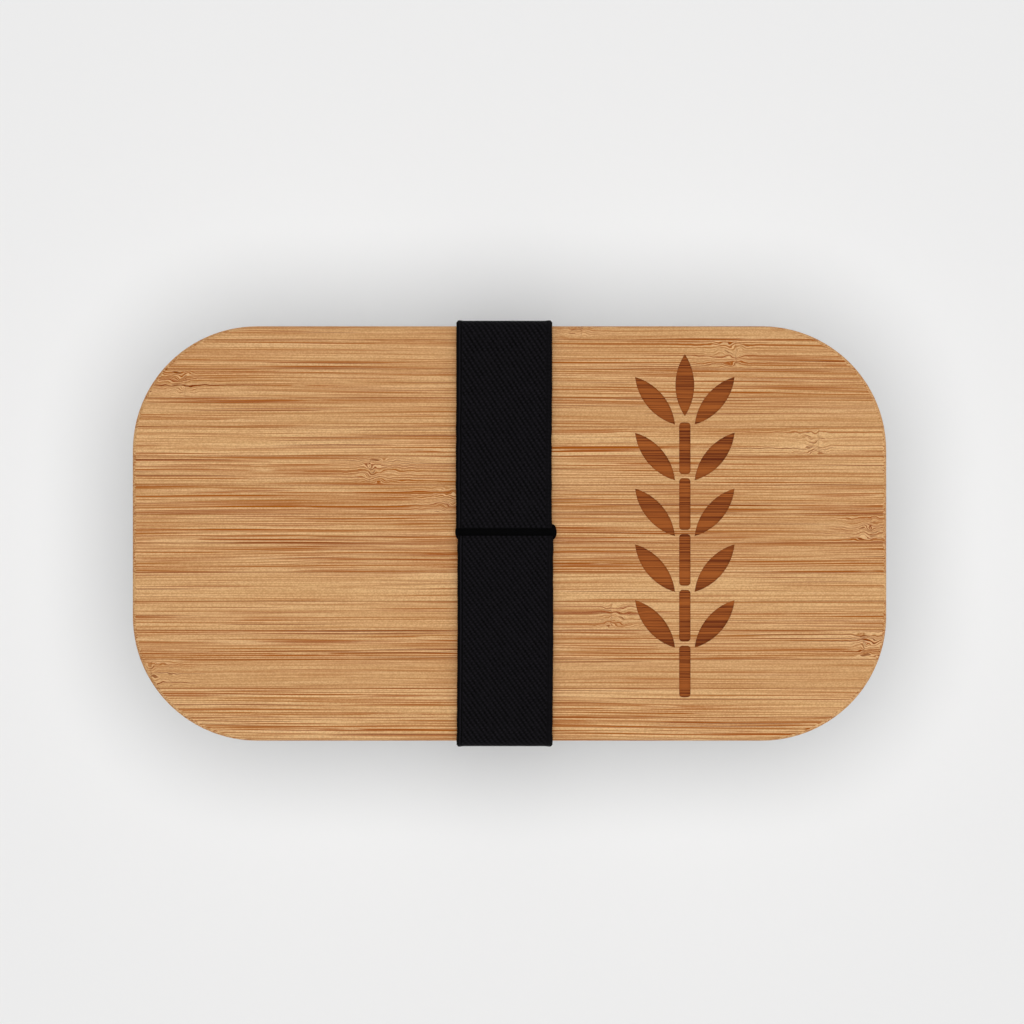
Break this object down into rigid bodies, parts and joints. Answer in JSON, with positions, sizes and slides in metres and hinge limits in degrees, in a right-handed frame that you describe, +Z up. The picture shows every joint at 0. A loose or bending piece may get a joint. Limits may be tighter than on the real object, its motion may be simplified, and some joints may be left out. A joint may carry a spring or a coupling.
{
  "type": "bento lunch box",
  "caption": "Long lunch box with rounded corners: a steel tub, a flat bamboo lid with a sealing ring, a loose divider, and a wide elastic band round the middle.",
  "frame": {"origin": "on the surface that the box stands on, under the middle of the lid", "axes": "+X along the box, +Y across it, +Z up; the engraving is at the +X end"},
  "size_m": [0.2, 0.113, 0.0667],
  "materials": {
    "bamboo": "sanded bamboo with a thin oiled satin finish; scorched brown in the engraving",
    "steel": "satin drawn stainless steel",
    "silicone": "matte, milky, slightly see-through",
    "elastic": "black twill-woven elastic webbing"
  },
  "bodies": {
    "tub": {"steel_tub": "steel"},
    "lid": {"lid_slat_01": "bamboo", "lid_slat_02": "bamboo", "lid_slat_03": "bamboo", "lid_slat_04": "bamboo", "lid_slat_05": "bamboo", "lid_slat_06": "bamboo", "lid_slat_07": "bamboo", "lid_slat_08": "bamboo", "lid_slat_09": "bamboo", "lid_slat_10": "bamboo", "lid_slat_11": "bamboo", "lid_slat_12": "bamboo", "lid_slat_13": "bamboo", "lid_slat_14": "bamboo", "lid_slat_15": "bamboo", "lid_seal": "silicone"},
    "divider": {"divider_plate": "steel", "divider_edging": "silicone"},
    "band": {"elastic_band": "elastic", "band_seam": "elastic"}
  },
  "joints": [
    {"name": "band_slide", "type": "slide", "parent": "tub", "child": "band", "axis": [1, 0, 0], "range_m": [-0.1125, 0.115]},
    {"name": "lid_lift", "type": "slide", "parent": "tub", "child": "lid", "axis": [0, 0, 1], "range_m": [0, 0.08], "deforming": ["elastic_band", "band_seam"]},
    {"name": "divider_slide", "type": "slide", "parent": "tub", "child": "divider", "axis": [1, 0, 0], "range_m": [-0.09, 0.04]}
  ]
}
